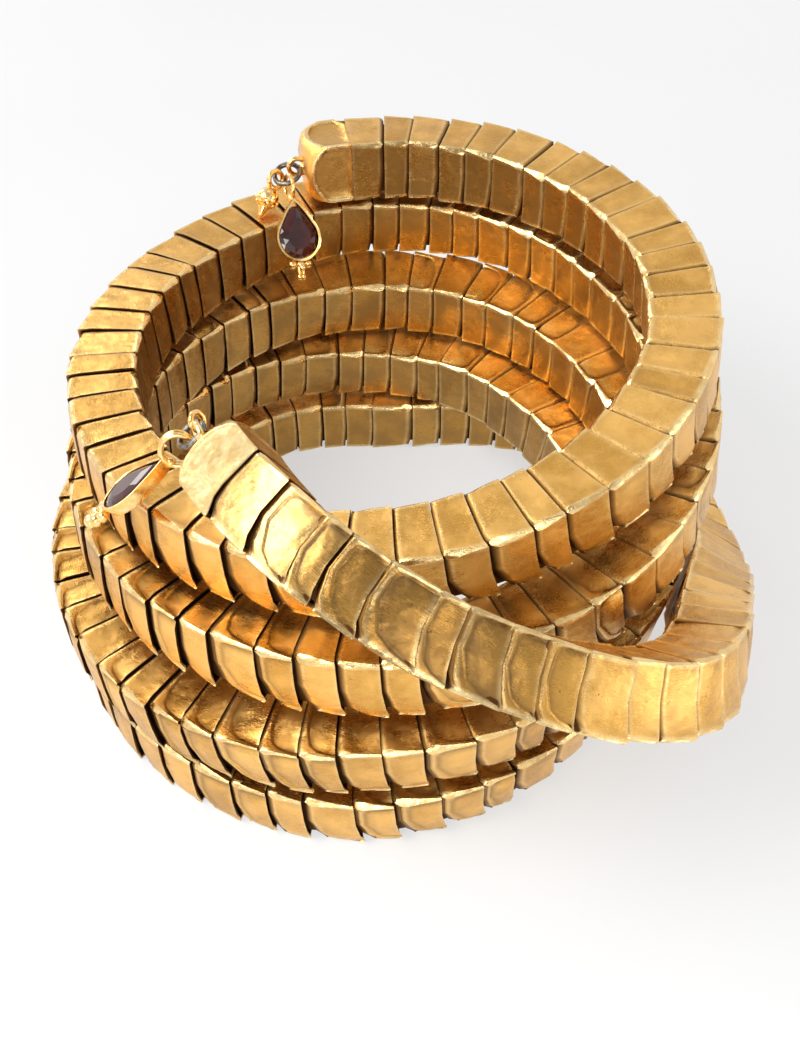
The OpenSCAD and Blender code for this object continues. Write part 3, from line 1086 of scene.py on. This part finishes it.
class BraceletSizes(bpy.types.PropertyGroup):
    """Sizes of the drops, the wires and the box ends."""

    pear_radius: bpy.props.FloatProperty(
        name="Pear radius", description="Radius of a setting's wide end",
        min=2.8 * MM, max=3.5 * MM, default=3.3 * MM, **LENGTH,
    )
    pear_length: bpy.props.FloatProperty(
        name="Pear length", description="Length of a setting from its apex to its foot",
        min=8.0 * MM, max=10.0 * MM, default=8.9 * MM, **LENGTH,
    )
    setting_height: bpy.props.FloatProperty(
        name="Setting height", description="Height of a setting from its back to its rim",
        min=1.4 * MM, max=2.4 * MM, default=1.6 * MM, **LENGTH,
    )
    rim_width: bpy.props.FloatProperty(
        name="Rim width", description="Width of the rim that holds a stone",
        min=0.3 * MM, max=0.5 * MM, default=0.35 * MM, **LENGTH,
    )
    grain_radius: bpy.props.FloatProperty(
        name="Grain radius", description="Radius of the row of grains at a setting's foot",
        min=0.5 * MM, max=0.8 * MM, default=0.68 * MM, **LENGTH,
    )
    wire: bpy.props.FloatProperty(
        name="Wire", description="Thickness of the wire of the eyes and rings",
        min=0.5 * MM, max=0.8 * MM, default=0.7 * MM, **LENGTH,
    )
    tail_dome: bpy.props.FloatProperty(
        name="Tail rounding", description="Radius of the rounding of the tail's end",
        min=4.3 * MM, max=7.0 * MM, default=4.6 * MM, **LENGTH,
    )
    head_dome: bpy.props.FloatProperty(
        name="Head rounding", description="Radius of the rounding of the head's end",
        min=4.3 * MM, max=7.0 * MM, default=4.75 * MM, **LENGTH,
    )


class BraceletLooks(bpy.types.PropertyGroup):
    """Colours of the bracelet."""

    gold_light: bpy.props.FloatVectorProperty(
        name="Light gold", description="Clean gold of the links",
        default=(0.95, 0.55, 0.155, 1), **COLOUR,
    )
    gold_deep: bpy.props.FloatVectorProperty(
        name="Deep gold", description="Browner gold in the mottling",
        default=(0.64, 0.335, 0.07, 1), **COLOUR,
    )
    # Also the colour of the painted highlight on the creases, the ends, the pale links and the
    # head's end
    gold_edge: bpy.props.FloatVectorProperty(
        name="Edge gold", description="Rubbed gold of the edges",
        default=(1.0, 0.78, 0.40, 1), **COLOUR,
    )
    # Also the colour of the painted shade on the hidden faces in the gaps
    patina: bpy.props.FloatVectorProperty(
        name="Patina", description="Dark film in the gaps and pits",
        default=(0.10, 0.04, 0.012, 1), **COLOUR,
    )
    # Painted shade: the brown of the grooves, the joints, the faces inside the coil, the brown
    # links and the tail's dish
    grime: bpy.props.FloatVectorProperty(
        name="Grime", description="Brown film in the grooves",
        default=(0.21, 0.115, 0.038, 1), **COLOUR,
    )
    ring: bpy.props.FloatVectorProperty(
        name="Ring grey", description="Oxidised wire of the jump rings",
        default=(0.12, 0.11, 0.10, 1), **COLOUR,
    )
    stone: bpy.props.FloatVectorProperty(
        name="Garnet", description="Wine red of the stones",
        default=(0.075, 0.012, 0.009, 1), **COLOUR,
    )


class BRACELET_OT_band(bpy.types.Operator):
    """Model the two halves of the band of sleeve links"""

    bl_idname = "bracelet.band"
    bl_label = "Band of Links"

    def execute(self, context):
        joints = joint_angles()
        pattern = sleeve_pattern()
        for name, first, last, node in (
            ("upper_links", 0, UPPER_LINKS - 1, "band_upper"),
            ("lower_links", UPPER_LINKS, LINKS - 1, "band_lower"),
        ):
            piece = sleeve_stretch(name, pattern, joints, first, last)
            finish_piece(piece, gold(worn_gold_painted_light), "band_gold", [node])
        bpy.data.objects.remove(pattern)
        return {"FINISHED"}


class BRACELET_OT_box_ends(bpy.types.Operator):
    """Model the closed box end at the tail and the one at the head, with their eyes"""

    bl_idname = "bracelet.box_ends"
    bl_label = "Box Ends"

    def execute(self, context):
        sizes = context.scene.bracelet_sizes
        long = (course_point(TAIL_END) - course_point(FIRST_JOINT)).length
        end = link_frame(TAIL_END, FIRST_JOINT)
        end = end @ Matrix.Translation((-long / 2, 0, 0))
        tail = box_end("tail_box", long, sizes.tail_dome / MM, TAIL_DISH)
        seat(tail, end, joint_frame(FIRST_JOINT), long, False)
        finish_piece(tail, gold(worn_gold_painted_light), "band_gold", ["tail_cap"])
        self.eye("tail_eye", sizes.wire / MM, end, *TAIL_EYE)
        long = (course_point(HEAD_END) - course_point(LAST_JOINT)).length
        end = link_frame(LAST_JOINT, HEAD_END)
        end = end @ Matrix.Translation((long / 2, 0, 0)) @ Matrix.Diagonal((-1, 1, 1, 1))
        last = LinkShape(LINKS - 1)
        head = box_end("head_box", long, sizes.head_dome / MM, HEAD_DISH, last)
        seat(head, end, joint_frame(LAST_JOINT), long, True)
        finish_piece(head, gold(worn_gold_painted_light), "band_gold", ["head_cap"])
        self.eye("head_eye", sizes.wire / MM, end, *HEAD_EYE)
        return {"FINISHED"}

    def eye(self, name, wire, end, off, turn):
        """A ring on a short foot, off the middle and turned about the band."""
        radius = 1.2
        place = (wire / 2 + 0.1 - radius, off, 0)
        ring = wire_ring("ring", radius, wire, place, (math.radians(turn + 90), 0))
        foot = ball("foot", 0.6, (0.15, off, 0), (1.2, 1.0, 1.0))
        piece = unite(name, [ring, foot], end)
        if end.determinant() < 0:
            piece.data.flip_normals()
        finish_piece(piece, gold(polished_gold), "bright_gold", [])


# The drops, the bead and the rings, in mm before the offset. A drop: its apex, down
# its length, out of its face. A bail: its wires, its radius, how far it leans and
# turns aside. The bead: its loop, up, along the wire that holds it. A ring: its
# radius, its middle, its axis.
TAIL_DROP = ((-15.5, 35.6, 39.4), (0.1, -0.62, -0.76), (0.45, -0.75, 0.5))
HEAD_DROP = ((-24.9, -23.35, 44.65), (-0.81, -0.28, -0.52), (-0.53, 0.2, 0.82))
TAIL_BAIL = (1, 1.5, 0, 0)
HEAD_BAIL = (2, 1.85, 32, -6)
TAIL_BEAD = ((-17.5, 38, 40.85), (0.4, 0.65, 0.6), (0.4, -0.9, 0))
TAIL_RING = (1.8, (-15.85, 38.65, 41.4), (-0.19, -0.25, 0.95))
HEAD_RING = (1.6, (-22.75, -22.35, 48.3), (-0.56, 0, 0.78))
HEAD_LOOP = (0.9, (-22.15, -20.9, 48.85), (0.76, -0.4, 0.5))


class BRACELET_OT_drops(bpy.types.Operator):
    """Model the two pear-shaped drops with their stones, bails and grains"""

    bl_idname = "bracelet.drops"
    bl_label = "Stone Drops"

    def execute(self, context):
        sizes = context.scene.bracelet_sizes
        bright = gold(polished_gold)
        stone = garnet(context.scene.bracelet_looks)
        tail, head = drop_frame(*TAIL_DROP), drop_frame(*HEAD_DROP)
        metal = self.metal("tail_drop_metal", sizes, tail, *TAIL_BAIL)
        finish_piece(metal, bright, "bright_gold", ["tail_drop"])
        metal = self.metal("head_drop_metal", sizes, head, *HEAD_BAIL)
        finish_piece(metal, bright, "bright_gold", ["head_drop"])
        for name, matrix, node in (
            ("tail_garnet", tail, "tail_stone"), ("head_garnet", head, "head_stone")
        ):
            finish_piece(cut_stone(name, sizes, matrix), stone, "garnet", [node])
        return {"FINISHED"}

    def metal(self, name, sizes, matrix, wires, radius, lean, side):
        """Setting, grains and a bail of one or two wires, which leans from the
        apex. The drop with one wire has two strands at its foot, the other one
        a bunch of grains."""
        foot = -sizes.pear_length / MM
        middle = sizes.setting_height / MM / 2
        stands = metres(bail_frame(sizes.wire / MM, radius, lean, side))
        parts = [pear_cup(sizes), ball("apex", 0.6, (0, 0, 0.6))]
        for offset in (0,) if wires == 1 else (-0.3, 0.3):
            bail = wire_ring("bail", radius, 0.6, (offset, 0, 0), (0, math.radians(90)))
            bail.data.transform(stands)
            parts.append(bail)
        for x in (-1.15, 0, 1.15):
            parts.append(ball("grain", sizes.grain_radius / MM, (x, foot - 0.3, middle)))
        parts.append(ball("grain", 0.5, (0.1, foot - 0.85, middle + 0.5)))
        if wires == 2:
            for x, y in ((-0.7, 1.3), (0.7, 1.3), (0.0, 2.1)):
                parts.append(ball("grain", 0.8, (x, foot - y, middle)))
        for x in (-0.3, 0.3) if wires == 1 else ():
            spot = (x, foot - 1.35, middle)
            parts.append(spike("strand", 0.38, 0.22, 1.5, spot, math.radians(90)))
            parts.append(ball("strand_end", 0.4, (x, foot - 2.05, middle), (1, 1.2, 1)))
        return unite(name, parts, matrix)


class BRACELET_OT_bead(bpy.types.Operator):
    """Model the small grained bead that hangs beside the tail's drop"""

    bl_idname = "bracelet.bead"
    bl_label = "Grained Bead"

    def execute(self, context):
        wire = context.scene.bracelet_sizes.wire / MM
        parts = [
            ball("dome", 1.58, (0, 0, -2.75)),
            spike("taper", 0.3, 1.3, 2.3, (0, 0, -4.05), 0.0),
            wire_ring("loop", 1.15, wire, (0, 0, 0.1), (math.radians(90), 0)),
            ball("tip", 0.36, (0, 0, -5.2)),
        ]
        # Sixteen grains round its waist, by turns large and small
        for k in range(16):
            turn = k * math.pi / 8
            size, reach, high = (0.35, 1.45, -3.0) if k % 2 == 0 else (0.24, 1.25, -3.6)
            spot = (reach * math.cos(turn), reach * math.sin(turn), high)
            parts.append(ball("grain", size, spot))
        bead = unite("tail_grained_bead", parts, hang_frame(*TAIL_BEAD))
        finish_piece(bead, gold(polished_gold), "bright_gold", ["tail_bead"])
        return {"FINISHED"}


class BRACELET_OT_rings(bpy.types.Operator):
    """Model the dark jump rings and the small gold loop at the head"""

    bl_idname = "bracelet.rings"
    bl_label = "Jump Rings"

    def execute(self, context):
        wire = context.scene.bracelet_sizes.wire / MM
        dark = (dark_silver(context.scene.bracelet_looks), "dark_ring")
        bright = (gold(polished_gold), "bright_gold")
        for name, (radius, place, axis), finish, node in (
            ("tail_jump_ring", TAIL_RING, dark, "tail_ring"),
            ("head_jump_ring", HEAD_RING, dark, "head_ring"),
            ("head_gold_loop", HEAD_LOOP, bright, "head_loop"),
        ):
            ring = wire_ring("ring", radius, wire, (0, 0, 0))
            ring = unite(name, [ring], ring_frame(place, axis))
            finish_piece(ring, *finish, [node])
        return {"FINISHED"}


# The camera as the photograph has it: lens in mm for a long side of 36 mm,
# distance and target in mm, elevation and roll in degrees
LENS = 45.74
DISTANCE = 183.0
ELEVATION = 46.57
CAMERA_ROLL = 1.18
TARGET = Vector((-1.037, 0.0, 10.22))


class BRACELET_OT_stage(bpy.types.Operator):
    """Lay the pale floor, hang the soft lights and set the camera"""

    bl_idname = "bracelet.stage"
    bl_label = "Stage"

    # Where the light room is darker: direction, where that starts and is full, as
    # the cosine of the angle off it, and by how much
    DARK_SIDES = (
        ((0.0, -0.39, 0.90), 0.80, 1.0, 0.62),
        ((0.0, 0.0, 1.0), 0.2, 1.0, 0.22),
        ((0.75, -0.54, 0.38), 0.95, 0.99, 0.6),
    )

    # Soft lights in metres and watts: name, place, target, width, power
    MIDDLE = (0, 0, 0.02)
    LIGHTS = (
        ("key", (-0.27, -0.08, 0.36), MIDDLE, 0.26, 1.1),
        ("front", (0.02, -0.46, 0.36), MIDDLE, 0.16, 0.35),
        ("low front", (-0.10, -0.40, 0.15), MIDDLE, 0.12, 0.3),
        ("window", (-0.38, 0.47, 0.33), MIDDLE, 0.22, 0.7),
        ("top", (0.06, 0.14, 0.36), MIDDLE, 0.12, 0.03),
        ("low window", (-0.42, 0.46, 0.08), MIDDLE, 0.20, 0.3),
        ("side", (0.40, -0.14, 0.11), MIDDLE, 0.25, 0.4),
        ("glow", (0.014, 0.006, 0.040), (0.032, 0.013, 0.028), 0.012, 0.005),
    )

    def execute(self, context):
        clear_selection()
        bpy.ops.mesh.primitive_grid_add(
            x_subdivisions=8, y_subdivisions=8, size=3.0, location=(0, 0, 0)
        )
        floor = start_piece("floor")
        bpy.ops.object.transform_apply(location=True, rotation=True, scale=True)
        floor.data.materials.append(pale_floor())
        context.scene.world = self.room()
        for light in self.LIGHTS:
            self.area(*light)
        context.scene.view_settings.view_transform = "Standard"
        self.camera(context)
        return {"FINISHED"}

    def room(self):
        """The world as a white room, dimmer where a dark side of it lies."""
        world = bpy.data.worlds.new("soft_room")
        n = Nodes(world, "Background")
        level = 0.95
        for direction, start, full, dim in self.DARK_SIDES:
            facing = n.toward(n.places["Generated"], direction)
            level = n.times(n.spread(facing, start, full, 1.0, 1.0 - dim), level)
        return n.finish(Strength=level, Color=(0.98, 0.985, 1.0, 1))

    def area(self, name, place, target, size, power):
        """A round soft light, unseen by the camera."""
        bpy.ops.object.light_add(type="AREA", location=place)
        light = bpy.context.active_object
        light.name = name
        light.data.shape = "DISK"
        light.data.size = size
        light.data.energy = power
        light.visible_camera = False
        aim = Vector(target) - Vector(place)
        light.rotation_euler = aim.to_track_quat("-Z", "Y").to_euler()

    def camera(self, context):
        rise = math.radians(ELEVATION)
        roll = math.radians(CAMERA_ROLL)
        forward = Vector((0, math.cos(rise), -math.sin(rise)))
        right = Vector((1, 0, 0))
        up = right.cross(forward)
        place = TARGET + SHIFT - DISTANCE * forward
        data = bpy.data.cameras.new("photo_view")
        data.lens = LENS
        data.clip_start = 0.01
        data.clip_end = 10.0
        camera = bpy.data.objects.new("photo_view", data)
        context.scene.collection.objects.link(camera)
        camera.matrix_world = axes(
            math.cos(roll) * right - math.sin(roll) * up,
            math.sin(roll) * right + math.cos(roll) * up,
            -forward,
            place * MM,
        )
        context.scene.camera = camera


class BRACELET_PT_panel(bpy.types.Panel):
    """The bracelet's sizes, colours and pieces"""

    bl_idname = "BRACELET_PT_panel"
    bl_label = "Snake Bracelet"
    bl_space_type = "VIEW_3D"
    bl_region_type = "UI"
    bl_category = "Bracelet"

    def draw(self, context):
        layout = self.layout
        scene = context.scene
        for group in (scene.bracelet_sizes, scene.bracelet_looks):
            for name in type(group).__annotations__:
                layout.prop(group, name)
        for step in STEPS:
            layout.operator(step.bl_idname)


STEPS = (
    BRACELET_OT_stage, BRACELET_OT_band, BRACELET_OT_box_ends, BRACELET_OT_drops,
    BRACELET_OT_bead, BRACELET_OT_rings,
)
CLASSES = (BraceletSizes, BraceletLooks, *STEPS, BRACELET_PT_panel)


def register():
    for one in CLASSES:
        bpy.utils.register_class(one)
    bpy.types.Scene.bracelet_sizes = bpy.props.PointerProperty(type=BraceletSizes)
    bpy.types.Scene.bracelet_looks = bpy.props.PointerProperty(type=BraceletLooks)


def unregister():
    del bpy.types.Scene.bracelet_looks
    del bpy.types.Scene.bracelet_sizes
    for one in reversed(CLASSES):
        bpy.utils.unregister_class(one)


def main():
    register()
    bpy.ops.bracelet.stage()
    bpy.ops.bracelet.band()
    bpy.ops.bracelet.box_ends()
    bpy.ops.bracelet.drops()
    bpy.ops.bracelet.bead()
    bpy.ops.bracelet.rings()
    bare = [name for name, node in NODES.items() if not node.hide_render]
    if bare:
        raise RuntimeError(f"no piece stands for {', '.join(bare)}")


if __name__ == "__main__":
    main()
